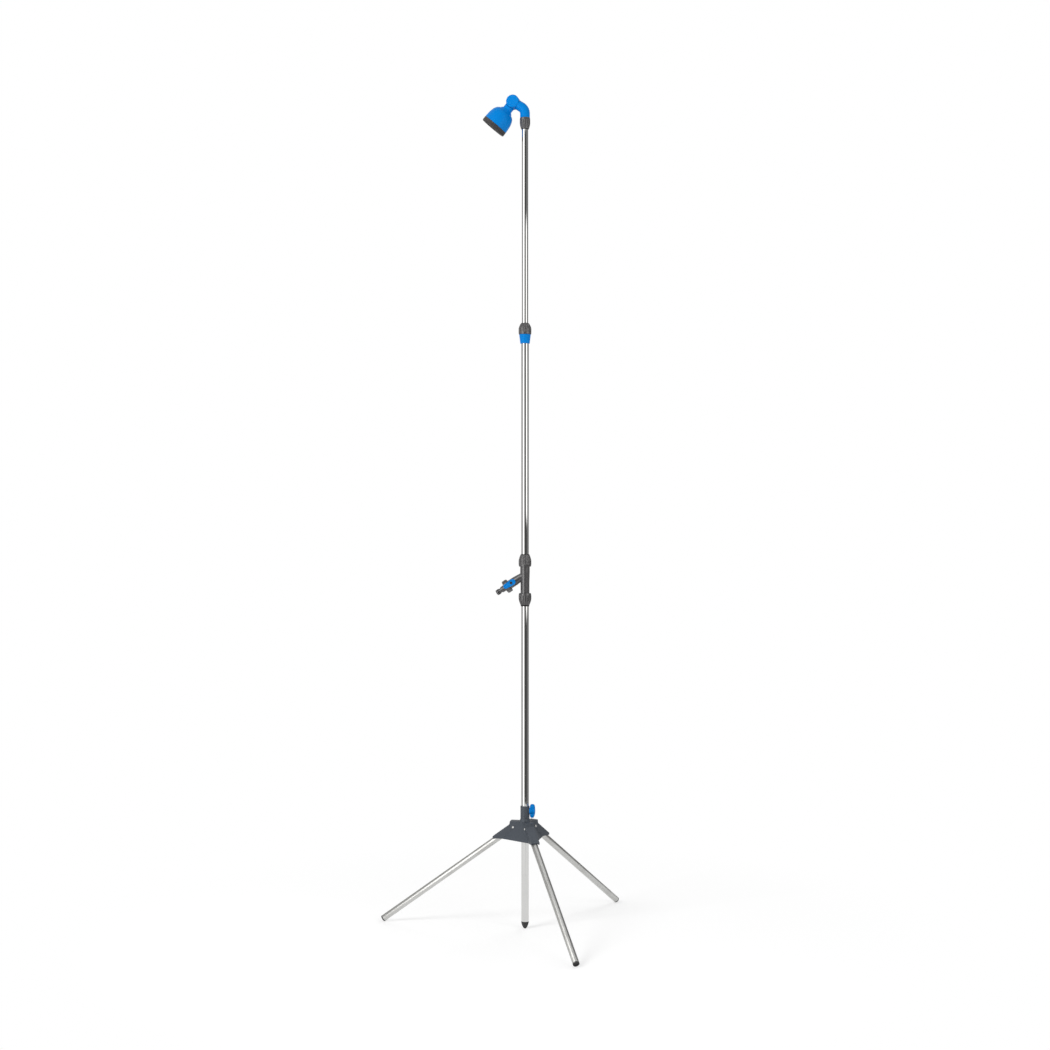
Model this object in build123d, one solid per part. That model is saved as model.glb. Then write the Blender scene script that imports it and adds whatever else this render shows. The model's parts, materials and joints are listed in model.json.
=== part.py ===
from build123d import *
import os
from math import cos, hypot, radians, sin, sqrt, tan

# Garden shower on a folding tripod, in millimetres
# Origin: the tip of the ground spike, where it meets the ground, with +Z up
# The shower head, the hose inlet and the left leg point to -X
# The other two legs stand at +60 and -60 degrees from +X

# Clearances
run_fit = 0.08       # radial gap of a tube or pin that slides or turns in its guide
snug_gap = 0.02      # radial gap of a plug, bush or ring that stays put
free_gap = 0.3       # gap between pieces that move past each other
seal_gap = 0.04      # gap between a rubber ring and what it seals against
ring_sides = 8       # flats round the section of a rubber ring

# Tubes
pole_od = 19.0
pole_wall = 0.8
upper_od = 16.0
upper_wall = 0.6
leg_od = 16.0
leg_wall = 1.0
lower_tube_length = 858.0
mid_tube_length = 590.0
upper_tube_length = 605.0
upper_overlap = 40.0     # length of the upper tube that stays inside the middle tube

# Spike and the plug that keeps water out of the lower tube
spike_length = 18.0
spike_tip_r = 2.5
spike_waist_r = 6.8
spike_waist_height = 6.5
spike_plug_length = 22.0
plug_flange = 2.0
plug_length = 14.0
plug_ring_depth = 6.0

# Legs, opened to rest on the ground with the pole
leg_headings = {"left": 180.0, "right": 60.0, "front": -60.0}
leg_length = 426.7       # pivot to the centre of the foot's end face
leg_angle = 35.95        # below the horizontal
pivot_reach = 29.0       # pivot axis from the pole axis
pivot_r = 2.5
pivot_head_r = 3.2
pivot_head_height = 1.3
pivot_head_edge = 0.8
leg_head_length = 10.0
leg_insert_length = 22.0
foot_flange = 3.0
foot_insert_length = 18.0
foot_recess_r = 5.0
foot_recess_depth = 1.2

# Tripod hub, heights counted from the leg pivots
hub_wall = 2.6
hub_drop = 30.0          # pivots down to the open underside
hub_rise = 15.5          # pivots up to the flat tops of the arms
arm_reach = 82.0         # pole axis to the end of an arm
block_reach = 37.0       # pole axis to the front of an arm's raised root
block_lean = 1.6
web_reach = 38.0         # pole axis to a web panel at the underside
web_top_reach = 14.0
sleeve_wall = 1.95
sleeve_height = 54.0     # pivots up to the top of the sleeve
flare_height = 6.0
sleeve_chamfer = 0.8

# Clamp screw through the side of the sleeve
boss_drop = 12.5         # sleeve top down to the screw axis
boss_r = 6.5
boss_length = 6.4        # outside the sleeve
screw_r = 3.0
screw_edge = 0.6
insert_r = 4.6
insert_length = 5.0
pad_r = 3.9
pad_thickness = 1.4
wing_span = 32.0
wing_thickness = 5.0
wing_root_r = 3.2
wing_tip_r = 3.8
wing_lean = 5.0          # how far the wing tips lean back to the pole
knob_hub_r = 6.0
knob_hub_length = 6.6
knob_edge = 1.0

# Compression joints: nut over a spigot, rubber seal, split grip ring
nut_flute_r = 2.4
nut_flute_depth = 0.55
nut_flutes = 18
seal_height = 3.0
grip_land = 2.0
grip_cone = 6.0
grip_slit = 2.0
pole_thread_r = 12.2
pole_spigot = 14.0
pole_nut_length = 30.6
pole_nut_open_r = 15.1
pole_nut_belly_r = 15.6
pole_nut_end_r = 12.0
pole_grip_lip_r = 10.4
clamp_thread_r = 12.2
clamp_spigot = 12.0
clamp_nut_length = 27.4
clamp_nut_open_r = 15.5
clamp_nut_belly_r = 15.9
clamp_nut_end_r = 12.0
clamp_grip_lip_r = 9.6
elbow_thread_r = 10.6
elbow_spigot = 12.0
elbow_nut_length = 27.8
elbow_nut_r = 12.5
elbow_nut_end_r = 10.6
elbow_grip_lip_r = 8.9
grip_lip_out = 1.2       # how far a grip ring shows past its nut
nut_rise = 6.5           # open end of a nut up to its full width
nut_belly = 10.0

# Inlet body, a Y-piece between the lower and the middle tube
inlet_lower_socket = 25.0    # lower tube inside the body below its top end
inlet_upper_socket = 13.4    # middle tube inside the body above its bottom end
cavity_length = 27.0
cavity_r = 8.0
inlet_low_r = 11.3
inlet_high_r = 12.1
branch_rise = 20.0       # cavity floor up to the branch axis, on the pole axis
branch_angle = 33.0      # below the horizontal
branch_root_r = 9.5
branch_r = 11.0
branch_swell = 30.0      # along the branch, where it reaches its full radius
branch_bore_r = 5.0
branch_thread_r = 13.1
branch_thread_start = 49.6
branch_thread_length = 5.4

# Ball valve in the branch
valve_at = 38.0          # along the branch from the pole axis
ball_r = 7.6
water_r = 4.75
chamber_r = 8.2
seat_reach = 9.0         # ball centre to the back of a seat
seat_bore_r = 5.2
seat_inner = 4.2         # ball centre to the ball side of a seat, clear of the stem
retainer_length = 5.0
stem_r = 3.5
stem_boss_r = 7.0
stem_boss_reach = 16.5   # branch axis to the boss face
stem_depth = 5.6         # ball centre to the stem's tongue
tongue_length = 2.2
tongue_width = 2.2
o_ring_r = 0.7
stem_pocket_depth = 4.0
lever_thickness = 5.0
lever_root_r = 7.8
lever_root_offset = -4.0     # along the lever, from the stem
lever_tip_r = 6.0
lever_tip_offset = 16.7
lever_edge = 1.2
lever_dish_margin = 2.2
lever_dish_depth = 0.8
lever_screw_head_r = 2.6
lever_screw_r = 1.5
lever_screw_length = 8.3
lever_screw_room = 0.7   # left under the end of the screw

# Hose coupling: union collar, spigot, washer
collar_start = 49.0
collar_r = 16.4
collar_chamfer = 1.4
collar_lip = 2.0
collar_ribs = 12
collar_rib_r = 3.0
collar_rib_depth = 0.8
washer_thickness = 2.0
washer_bore_r = 6.0
spigot_flange = 1.4
spigot_base_r = 7.8
spigot_base_length = 10.6
spigot_neck_r = 5.9
spigot_neck_length = 6.4
nose_r = 7.0
nose_length = 9.0
nose_chamfer = 1.0
nose_groove_at = 1.6     # from the neck to the O-ring groove
nose_groove_width = 2.2

# Telescopic clamp on top of the middle tube
clamp_socket = 10.0
clamp_rise = 13.0        # tube end up to the nut
clamp_low_r = 12.0
clamp_high_r = 14.7
bush_length = 14.0
bush_insert_length = 12.0
bush_bore_r = 5.5
bush_groove_width = 2.0
bush_groove_depth = 1.4
bush_ring_margin = 3.5

# Elbow and tilting knuckle
elbow_cover = 14.2       # upper tube inside the elbow above its nut
elbow_r = 12.4
elbow_bore_r = 6.5
elbow_corner = 22.2      # nut's open end up to the corner of the centre line
elbow_bend = 20.0
elbow_rise = 33.0        # arm above the horizontal
arm_length = 36.0        # corner to the knuckle axis
knuckle_r = 16.5
knuckle_half = 14.0      # knuckle axis direction, middle to face
knuckle_edge = 2.5
port_r = 3.5
port_offset = 6.0
port_wall = 2.5
sleeve_pin_r = 7.0
sleeve_pin_bore_r = 5.0
sleeve_pin_floor = 3.0
groove_r = 8.6
groove_width = 6.0
cap_r = 10.0
cap_thickness = 2.0
cap_edge = 1.0
cap_screw_r = 1.5
cap_screw_head_r = 3.0
cap_screw_head = 1.2
pin_ring_r = 0.6
pin_ring_width = 1.6

# Shower head
head_angle = 49.6        # below the horizontal
head_tilt_back = 20.0    # how far it tilts from there towards the pole
neck_r = 12.5
neck_length = 24.0
bell_root = (31.6, 19.3)     # along the head axis, radius
bell_shoulder = (38.0, 24.0)
bell_middle = (48.5, 28.1)
bell_hem = (67.3, 31.6)
bell_wall = 2.4
hem_length = 4.0
hem_r = 33.0
rim_r = 33.5
rim_length = 12.0
rim_lip = 3.0
rim_edge = 2.0
skirt_r = 30.0
gasket_thickness = 1.3
plate_thickness = 2.2
face_r = 28.2
face_height = 2.2
nozzle_r = 0.9
nozzle_rings = 3
nozzle_inner_count = 6   # in the innermost ring, and as many more in each ring outside it
nozzle_pitch = 7.8

# Radii that follow from the tubes
pole_r = pole_od / 2
pole_bore = pole_r - pole_wall
upper_r = upper_od / 2
upper_bore = upper_r - upper_wall
leg_r = leg_od / 2
leg_bore = leg_r - leg_wall
sleeve_bore = pole_r + run_fit
sleeve_r = sleeve_bore + sleeve_wall

# Heights along the pole
lower_top = spike_length + lower_tube_length
cavity_floor = lower_top + plug_flange
mid_bottom = cavity_floor + cavity_length
mid_top = mid_bottom + mid_tube_length
upper_bottom = mid_top - upper_overlap
upper_top = upper_bottom + upper_tube_length
lower_shoulder = lower_top - inlet_lower_socket
upper_shoulder = mid_bottom + inlet_upper_socket
clamp_bottom = mid_top - clamp_socket
clamp_shoulder = mid_top + clamp_rise
elbow_shoulder = upper_top - free_gap - elbow_cover + elbow_spigot
pivot_z = leg_r * cos(radians(leg_angle)) + leg_length * sin(radians(leg_angle))
hub_bottom = pivot_z - hub_drop
hub_top = pivot_z + hub_rise
sleeve_top = pivot_z + sleeve_height
screw_z = sleeve_top - boss_drop


def tilted(origin, below):
    # A frame whose +Z runs to -X, the given angle below the horizontal, and whose +X is the row's +Y
    return Plane(origin, x_dir=(0, 1, 0), z_dir=(-cos(radians(below)), 0, -sin(radians(below)))).location


branch = tilted((0, 0, cavity_floor + branch_rise), branch_angle)
knuckle_x = -arm_length * cos(radians(elbow_rise))
knuckle_z = elbow_shoulder + elbow_corner + arm_length * sin(radians(elbow_rise))
head = tilted((knuckle_x, 0, knuckle_z), head_angle)


def turned(*corners):
    # A solid turned about Z from its (radius, height) corners
    outline = Polyline(*[(r, 0, z) for r, z in corners], close=True)
    return revolve(make_face(outline), Axis.Z)


def tube(outer, inner, low, high):
    return turned((inner, low), (outer, low), (outer, high), (inner, high))


def rod(radius, low, high):
    return Pos(0, 0, low) * Cylinder(radius, high - low, align=(Align.CENTER, Align.CENTER, Align.MIN))


def across(radius, low, high, x=0.0, z=0.0):
    # A rod along Y from low to high
    return Pos(x, low, z) * Rot(-90, 0, 0) * rod(radius, 0, high - low)


def along_x(radius, low, high, z=0.0):
    return Pos(low, 0, z) * Rot(0, 90, 0) * rod(radius, 0, high - low)


def ring_of(radius, section, height=0.0):
    # A rubber ring whose section, a polygon, lies at the given radius and height
    angles = [radians(360 / ring_sides * (i + 0.5)) for i in range(ring_sides)]
    return turned(*[(radius + section * cos(a), height + section * sin(a)) for a in angles])


def save(shape, name):
    export_step(shape, "parts/" + name + ".step")


# Compression joint, built upwards from the open end of its nut at height 0
def nut(thread, spigot, length, open_r, belly_r, end_r, lip_r):
    bore = thread + free_gap
    cone_low = spigot + seal_height + free_gap + grip_land
    mouth = lip_r + free_gap
    rise = Polyline((bore, 0, 0), (open_r, 0, 0), (belly_r, 0, nut_rise), (belly_r, 0, nut_rise + nut_belly))
    taper = TangentArc((belly_r, 0, nut_rise + nut_belly), (end_r, 0, length), tangent=(0, 0, 1))
    inside = Polyline(
        (end_r, 0, length), (mouth, 0, length), (mouth, 0, cone_low + grip_cone),
        (bore, 0, cone_low), (bore, 0, 0),
    )
    body = revolve(make_face(rise + taper + inside), Axis.Z)
    reach = belly_r + nut_flute_r - nut_flute_depth
    cutter = Pos(reach, 0, 0) * rod(nut_flute_r, 0, length)
    return body - [Rot(0, 0, 360 / nut_flutes * i) * cutter for i in range(nut_flutes)]


def grip_ring(tube_r, thread, spigot, length, lip_r):
    low = spigot + seal_height + free_gap
    inner = tube_r + run_fit
    cone_low = low + grip_land
    high = length + grip_lip_out
    ring = turned(
        (inner, low), (thread, low), (thread, cone_low),
        (lip_r, cone_low + grip_cone), (lip_r, high), (inner, high),
    )
    slit = Pos(thread, 0, low) * Box(
        2 * (thread - inner) + grip_land, grip_slit, high - low,
        align=(Align.CENTER, Align.CENTER, Align.MIN),
    )
    return ring - slit


def seal(tube_r, thread, spigot):
    return tube(thread, tube_r + seal_gap, spigot, spigot + seal_height)


def compression_joint(place, names, tube_r, thread, spigot, length, open_r, belly_r, end_r, lip_r):
    save(place * nut(thread, spigot, length, open_r, belly_r, end_r, lip_r), names + "_nut")
    save(place * grip_ring(tube_r, thread, spigot, length, lip_r), names + "_grip_ring")
    save(place * seal(tube_r, thread, spigot), names + "_seal")


# Lower pole: spike, tube and the plug at the tube's top
def spike_tip():
    flank = Spline(
        (pole_r, 0, spike_length), (spike_waist_r, 0, spike_waist_height), (spike_tip_r, 0, 0),
        tangents=((0, 0, -1), (-1, 0, -1)),
    )
    plug_r = pole_bore - snug_gap
    top = spike_length + spike_plug_length
    core = Polyline(
        (spike_tip_r, 0, 0), (0, 0, 0), (0, 0, top), (plug_r, 0, top),
        (plug_r, 0, spike_length), (pole_r, 0, spike_length),
    )
    return revolve(make_face(flank + core), Axis.Z)


def tube_plug():
    plug_r = pole_bore - snug_gap
    groove_r_in = pole_bore - 2 * seal_gap - 2 * o_ring_r
    low = lower_top - plug_length
    groove = lower_top - plug_ring_depth
    return turned(
        (0, low), (plug_r, low), (plug_r, groove - o_ring_r), (groove_r_in, groove - o_ring_r),
        (groove_r_in, groove + o_ring_r), (plug_r, groove + o_ring_r), (plug_r, lower_top),
        (pole_r, lower_top), (pole_r, cavity_floor), (0, cavity_floor),
    )


def lower_pole():
    save(spike_tip(), "spike_tip")
    save(tube(pole_r, pole_bore, spike_length, lower_top), "lower_tube")
    save(tube_plug(), "tube_plug")
    ring_mid = pole_bore - seal_gap - o_ring_r
    save(ring_of(ring_mid, o_ring_r - seal_gap / 2, lower_top - plug_ring_depth), "tube_plug_o_ring")


# Tripod hub: three channelled arms, flat webs between them and a sleeve for the pole
def roof(reach, offset):
    # Height of a line that lies along the leg, offset from its axis, at a distance from the pole
    angle = radians(leg_angle)
    return pivot_z + offset / cos(angle) - tan(angle) * (reach - pivot_reach)


def side_plate(half_width, *corners):
    # A block across heading 0, drawn by its (reach, height) corners
    face = make_face(Polyline(*[(x, 0, z) for x, z in corners], close=True))
    return extrude(face, half_width, both=True)


def hub_arm():
    outside = leg_r + free_gap + hub_wall
    front = block_reach + block_lean
    return side_plate(
        outside,
        (0, hub_bottom), (0, hub_top), (block_reach, hub_top), (front, roof(front, outside)),
        (arm_reach, roof(arm_reach, outside)), (arm_reach, hub_bottom),
    )


def hub_channel():
    inside = leg_r + free_gap
    ceiling = hub_top - hub_wall
    past = arm_reach + hub_wall
    under = hub_bottom - hub_wall
    bend = pivot_reach + (roof(pivot_reach, inside) - ceiling) / tan(radians(leg_angle))
    return side_plate(
        inside,
        (0, under), (0, ceiling), (bend, ceiling), (past, roof(past, inside)), (past, under),
    )


def web_pyramid(inset):
    # Three sloping panels that meet under the arms
    slope = sqrt(1 + ((web_reach - web_top_reach) / (hub_top - hub_bottom)) ** 2)
    low = web_reach - inset * slope
    high = web_top_reach - inset * slope
    corners = [radians(angle) for angle in leg_headings.values()]
    sections = [
        make_face(Polyline(*[(2 * r * cos(a), 2 * r * sin(a), z) for a in corners], close=True))
        for r, z in ((low, hub_bottom), (high, hub_top))
    ]
    return loft(sections, ruled=True)


def sleeve_and_boss():
    sleeve = turned(
        (0, hub_bottom), (sleeve_r, hub_bottom), (sleeve_r, hub_top - hub_wall),
        (web_top_reach, hub_top - hub_wall), (web_top_reach, hub_top), (sleeve_r, hub_top + flare_height),
        (sleeve_r, sleeve_top - sleeve_chamfer), (sleeve_r - sleeve_chamfer, sleeve_top), (0, sleeve_top),
    )
    return sleeve + along_x(boss_r, sleeve_bore, sleeve_r + boss_length, screw_z)


def tripod_hub():
    headings = list(leg_headings.values())
    shell = web_pyramid(0) - web_pyramid(hub_wall)
    shell += [Rot(0, 0, a) * hub_arm() for a in headings]
    shell -= [Rot(0, 0, a) * hub_channel() for a in headings]
    body = shell + sleeve_and_boss()
    body -= rod(sleeve_bore, hub_bottom - hub_wall, sleeve_top + hub_wall)
    face = sleeve_r + boss_length
    body -= along_x(insert_r + snug_gap, face - insert_length, face, screw_z)
    body -= along_x(pad_r + run_fit, 0, face - insert_length, screw_z)
    wall = leg_r + free_gap + hub_wall
    holes = across(pivot_r + snug_gap, -wall, wall, pivot_reach, pivot_z)
    for side in (-wall - hub_wall, wall):
        holes += across(pivot_head_r + free_gap, side, side + hub_wall, pivot_reach, pivot_z)
    return body - [Rot(0, 0, a) * holes for a in headings]


def pivot_pin():
    # A rivet across an arm, with a domed head on each wall
    wall = leg_r + free_gap + hub_wall
    dome = chamfer(rod(pivot_head_r, 0, pivot_head_height).edges().sort_by(Axis.Z)[-1], pivot_head_edge)
    heads = [Pos(pivot_reach, side * wall, pivot_z) * Rot(-90 * side, 0, 0) * dome for side in (-1, 1)]
    return across(pivot_r, -wall, wall, pivot_reach, pivot_z) + heads


def pressure_pad():
    # A small pad whose face follows the pole
    reach = pole_r + free_gap
    block = along_x(pad_r, 0, reach + pad_thickness, screw_z)
    return block - rod(reach, screw_z - boss_r, screw_z + boss_r)


def clamp_knob():
    hub_low = sleeve_r + boss_length + 2 * free_gap
    hub_high = hub_low + knob_hub_length
    root_x = hub_high - wing_root_r
    tip_x = root_x - wing_lean
    tip_z = wing_span / 2 - wing_tip_r
    wings = Part()
    for side in (-1, 1):
        root = Pos(root_x, side * wing_root_r) * Circle(wing_root_r)
        tip = Pos(tip_x, side * tip_z) * Circle(wing_tip_r)
        ear = extrude(make_hull(root.edges() + tip.edges()), wing_thickness / 2, both=True)
        wings += fillet(ear.edges(), knob_edge)
    hub = along_x(knob_hub_r, hub_low, hub_high)
    hub = chamfer(hub.edges().sort_by(Axis.X)[-1], knob_edge)
    knob = hub + Rot(90, 0, 0) * wings
    knob -= along_x(screw_r + snug_gap, 0, hub_high - hub_wall)
    knob -= along_x(boss_r + 2 * free_gap, 0, hub_low - free_gap)
    return Pos(0, 0, screw_z) * knob


def clamp_stud():
    low = pole_r + free_gap + pad_thickness + seal_gap
    knob_end = sleeve_r + boss_length + 2 * free_gap + knob_hub_length - hub_wall
    stud = along_x(screw_r, low, knob_end - seal_gap, screw_z)
    return chamfer(stud.edges().sort_by(Axis.X)[0], screw_edge)


def screw_insert():
    face = sleeve_r + boss_length
    body = along_x(insert_r, face - insert_length, face, screw_z)
    return body - along_x(screw_r + run_fit, face - insert_length, face, screw_z)


def hub_group():
    save(tripod_hub(), "tripod_hub")
    save(Compound(children=[Rot(0, 0, a) * pivot_pin() for a in leg_headings.values()]), "leg_pivot_pins")
    save(screw_insert(), "clamp_insert")
    save(pressure_pad(), "clamp_pad")
    save(clamp_knob(), "clamp_knob")
    save(clamp_stud(), "clamp_stud")


# Legs, built along +Z from the pivot, with the pivot across X
def leg_frame(heading):
    angle = radians(leg_angle)
    along = Plane((pivot_reach, 0, pivot_z), x_dir=(0, 1, 0), z_dir=(cos(angle), 0, -sin(angle)))
    return Rot(0, 0, heading) * along.location


def leg_head():
    round_end = rod(leg_r, -leg_r, 0) & along_x(leg_r, -leg_r, leg_r)
    body = round_end + rod(leg_r, 0, leg_head_length)
    body += rod(leg_bore - snug_gap, leg_head_length, leg_head_length + leg_insert_length)
    return body - along_x(pivot_r + run_fit, -leg_r, leg_r)


def foot_plug():
    start = leg_length - foot_flange
    insert = leg_bore - snug_gap
    return turned(
        (0, start - foot_insert_length), (insert, start - foot_insert_length), (insert, start),
        (leg_r, start), (leg_r, leg_length), (foot_recess_r, leg_length),
        (foot_recess_r, leg_length - foot_recess_depth), (0, leg_length - foot_recess_depth),
    )


def legs():
    for name, heading in leg_headings.items():
        place = leg_frame(heading)
        save(place * leg_head(), name + "_leg_head")
        save(place * tube(leg_r, leg_bore, leg_head_length, leg_length - foot_flange), name + "_leg_tube")
        save(place * foot_plug(), name + "_foot")


# Inlet body and its valve, the branch built along its own +Z with +X towards the row's +Y
def inlet_barrel():
    low = lower_shoulder - pole_spigot
    high = upper_shoulder + pole_spigot
    return turned(
        (0, low), (pole_thread_r, low), (pole_thread_r, lower_shoulder), (inlet_low_r, lower_shoulder),
        (inlet_low_r, cavity_floor), (inlet_high_r, mid_bottom), (inlet_high_r, upper_shoulder),
        (pole_thread_r, upper_shoulder), (pole_thread_r, high), (0, high),
    )


def inlet_branch():
    end = branch_thread_start + branch_thread_length
    return turned(
        (0, 0), (branch_root_r, 0), (branch_root_r, inlet_low_r), (branch_r, branch_swell),
        (branch_r, branch_thread_start), (branch_thread_r, branch_thread_start), (branch_thread_r, end), (0, end),
    )


def inlet_body():
    low = lower_shoulder - pole_spigot
    high = upper_shoulder + pole_spigot
    end = branch_thread_start + branch_thread_length
    chamber_low = valve_at - seat_reach
    boss = Pos(0, 0, valve_at) * Rot(0, -90, 0) * rod(stem_boss_r, 0, stem_boss_reach)
    body = inlet_barrel() + branch * (inlet_branch() + boss)
    body -= rod(pole_r + run_fit, low, cavity_floor + free_gap)
    body -= rod(cavity_r, cavity_floor, mid_bottom)
    body -= rod(pole_r + snug_gap, mid_bottom, high)
    bores = rod(branch_bore_r, 0, chamber_low) + rod(chamber_r, chamber_low, end)
    stem_way = Pos(0, 0, valve_at) * Rot(0, -90, 0) * (
        rod(stem_r + run_fit, 0, stem_boss_reach)
        + rod(stem_r + 2 * o_ring_r + 2 * seal_gap, stem_boss_reach - stem_pocket_depth, stem_boss_reach)
    )
    return body - branch * (bores + stem_way)


def valve_ball():
    ball = Sphere(ball_r) - rod(water_r, -ball_r, ball_r)
    slot = Pos(-stem_depth - ball_r / 2, 0, 0) * Box(ball_r, tongue_width + 2 * snug_gap, 2 * ball_r)
    return Pos(0, 0, valve_at) * (ball - slot)


def valve_seats():
    seats = []
    for side in (-1, 1):
        ends = sorted((side * seat_inner, side * seat_reach))
        ring = tube(chamber_r - snug_gap, seat_bore_r, *ends)
        seats.append(Pos(0, 0, valve_at) * (ring - Sphere(ball_r + seal_gap)))
    return seats


def valve_retainer():
    start = valve_at + seat_reach + snug_gap
    return tube(chamber_r - snug_gap, seat_bore_r, start, start + retainer_length)


def valve_stem():
    reach = stem_boss_reach + free_gap + lever_thickness - lever_dish_depth
    shank = rod(stem_r, stem_depth + tongue_length, reach)
    tongue = Pos(0, 0, stem_depth + tongue_length / 2) * Box(2 * stem_r, tongue_width, tongue_length)
    tongue &= rod(stem_r, stem_depth, reach)
    body = shank + tongue - rod(lever_screw_r + snug_gap, reach - lever_screw_length - lever_screw_room, reach)
    return Pos(0, 0, valve_at) * Rot(0, -90, 0) * body


def lever_outline(margin):
    root = Pos(lever_root_offset, 0) * Circle(lever_root_r - margin)
    tip = Pos(lever_tip_offset, 0) * Circle(lever_tip_r - margin)
    return make_hull(root.edges() + tip.edges())


def valve_lever():
    low = stem_boss_reach + free_gap
    high = low + lever_thickness
    body = extrude(lever_outline(0), lever_thickness)
    body = fillet(body.faces().sort_by(Axis.Z)[-1].edges(), lever_edge)
    dish = Pos(0, 0, lever_thickness - lever_dish_depth) * extrude(lever_outline(lever_dish_margin), lever_thickness)
    body -= dish
    body = Pos(0, 0, low) * body - rod(stem_r + snug_gap, low, high)
    return Pos(0, 0, valve_at) * Rot(0, -90, 0) * body


def lever_screw():
    seat = stem_boss_reach + free_gap + lever_thickness - lever_dish_depth
    screw = rod(lever_screw_head_r, seat, seat + lever_dish_depth)
    screw += rod(lever_screw_r, seat - lever_screw_length, seat)
    return Pos(0, 0, valve_at) * Rot(0, -90, 0) * screw


def stem_o_ring():
    depth = stem_boss_reach - stem_pocket_depth + o_ring_r + seal_gap
    ring = ring_of(stem_r + seal_gap + o_ring_r, o_ring_r, depth)
    return Pos(0, 0, valve_at) * Rot(0, -90, 0) * ring


# Hose coupling, along the branch
washer_start = branch_thread_start + branch_thread_length + free_gap
flange_start = washer_start + washer_thickness
base_start = flange_start + spigot_flange
lip_start = base_start + free_gap
collar_end = lip_start + collar_lip
neck_start = collar_end + spigot_base_length
nose_start = neck_start + spigot_neck_length
nose_end = nose_start + nose_length


def union_collar():
    end = collar_end
    bore = branch_thread_r + free_gap
    mouth = spigot_base_r + free_gap
    body = turned(
        (bore, collar_start), (collar_r - collar_chamfer, collar_start), (collar_r, collar_start + collar_chamfer),
        (collar_r, end - collar_chamfer), (collar_r - collar_chamfer, end), (mouth, end),
        (mouth, lip_start), (bore, lip_start),
    )
    reach = collar_r + collar_rib_r - collar_rib_depth
    cutter = Pos(reach, 0, 0) * rod(collar_rib_r, collar_start, end)
    return body - [Rot(0, 0, 360 / collar_ribs * i) * cutter for i in range(collar_ribs)]


def hose_spigot():
    flange_r = branch_thread_r - free_gap
    groove_low = nose_start + nose_groove_at
    groove_high = groove_low + nose_groove_width
    return turned(
        (water_r, flange_start), (flange_r, flange_start), (flange_r, base_start), (spigot_base_r, base_start),
        (spigot_base_r, neck_start), (spigot_neck_r, neck_start), (spigot_neck_r, nose_start),
        (nose_r, nose_start), (nose_r, groove_low), (spigot_neck_r, groove_low), (spigot_neck_r, groove_high),
        (nose_r, groove_high), (nose_r, nose_end - nose_chamfer), (nose_r - nose_chamfer, nose_end),
        (water_r, nose_end),
    )


def inlet_group():
    save(inlet_body(), "inlet_body")
    save(branch * valve_ball(), "valve_ball")
    save(Compound(children=[branch * seat for seat in valve_seats()]), "valve_seats")
    save(branch * valve_retainer(), "valve_retainer")
    save(branch * valve_stem(), "valve_stem")
    save(branch * stem_o_ring(), "stem_o_ring")
    save(branch * valve_lever(), "valve_lever")
    save(branch * lever_screw(), "lever_screw")
    save(branch * union_collar(), "union_collar")
    save(branch * hose_spigot(), "hose_spigot")
    ring_mid = spigot_neck_r + seal_gap + o_ring_r
    save(branch * ring_of(ring_mid, o_ring_r, nose_start + nose_groove_at + nose_groove_width / 2), "spigot_o_ring")
    save(branch * tube(branch_thread_r - free_gap, washer_bore_r, washer_start, flange_start), "inlet_washer")


# Telescopic joint of the middle and upper tubes
def clamp_body():
    high = clamp_shoulder + clamp_spigot
    wall = turned(
        (pole_r + snug_gap, clamp_bottom), (clamp_low_r, clamp_bottom), (clamp_high_r, clamp_shoulder - free_gap),
        (clamp_thread_r, clamp_shoulder - free_gap), (clamp_thread_r, high), (upper_r + run_fit, high),
        (upper_r + run_fit, mid_top), (pole_r + snug_gap, mid_top),
    )
    reach = clamp_high_r + nut_flute_r - nut_flute_depth
    cutter = Pos(reach, 0, 0) * rod(nut_flute_r, clamp_bottom, clamp_shoulder - free_gap)
    return wall - [Rot(0, 0, 360 / nut_flutes * i) * cutter for i in range(nut_flutes)]


def guide_bush():
    outer = pole_bore - run_fit
    insert = upper_bore - snug_gap
    low = upper_bottom - bush_length
    groove = outer - bush_groove_depth
    half = bush_groove_width / 2
    corners = [(bush_bore_r, low), (outer, low)]
    for middle in bush_ring_heights():
        corners += [(outer, middle - half), (groove, middle - half), (groove, middle + half), (outer, middle + half)]
    corners += [(outer, upper_bottom), (insert, upper_bottom), (insert, upper_bottom + bush_insert_length)]
    return turned(*corners, (bush_bore_r, upper_bottom + bush_insert_length))


def bush_ring_heights():
    return (upper_bottom - bush_length + bush_ring_margin, upper_bottom - bush_ring_margin)


def guide_o_rings():
    middle = pole_bore - seal_gap - o_ring_r
    return [ring_of(middle, o_ring_r, height) for height in bush_ring_heights()]


def telescope_group():
    save(tube(pole_r, pole_bore, mid_bottom, mid_top), "mid_tube")
    save(clamp_body(), "clamp_body")
    save(tube(upper_r, upper_bore, upper_bottom, upper_top), "upper_tube")
    save(guide_bush(), "guide_bush")
    save(Compound(children=guide_o_rings()), "guide_o_rings")


# Elbow, swivelling on the upper tube, and its half of the knuckle
def arm_point(distance):
    # A point on the centre line of the arm, counted from the corner
    angle = radians(elbow_rise)
    corner = elbow_shoulder + elbow_corner
    return (-distance * cos(angle), 0, corner + distance * sin(angle))


def elbow_pipe(radius, low, distance):
    path = FilletPolyline((0, 0, low), arm_point(0), arm_point(distance), radius=elbow_bend)
    return sweep(Pos(0, 0, low) * Circle(radius), path)


def knuckle_space(side):
    # The room that the other half of the knuckle turns in, on one side of the middle
    ends = sorted((-side * free_gap / 2, side * (knuckle_half + free_gap)))
    return across(knuckle_r + 2 * free_gap, *ends, knuckle_x, knuckle_z)


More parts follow.
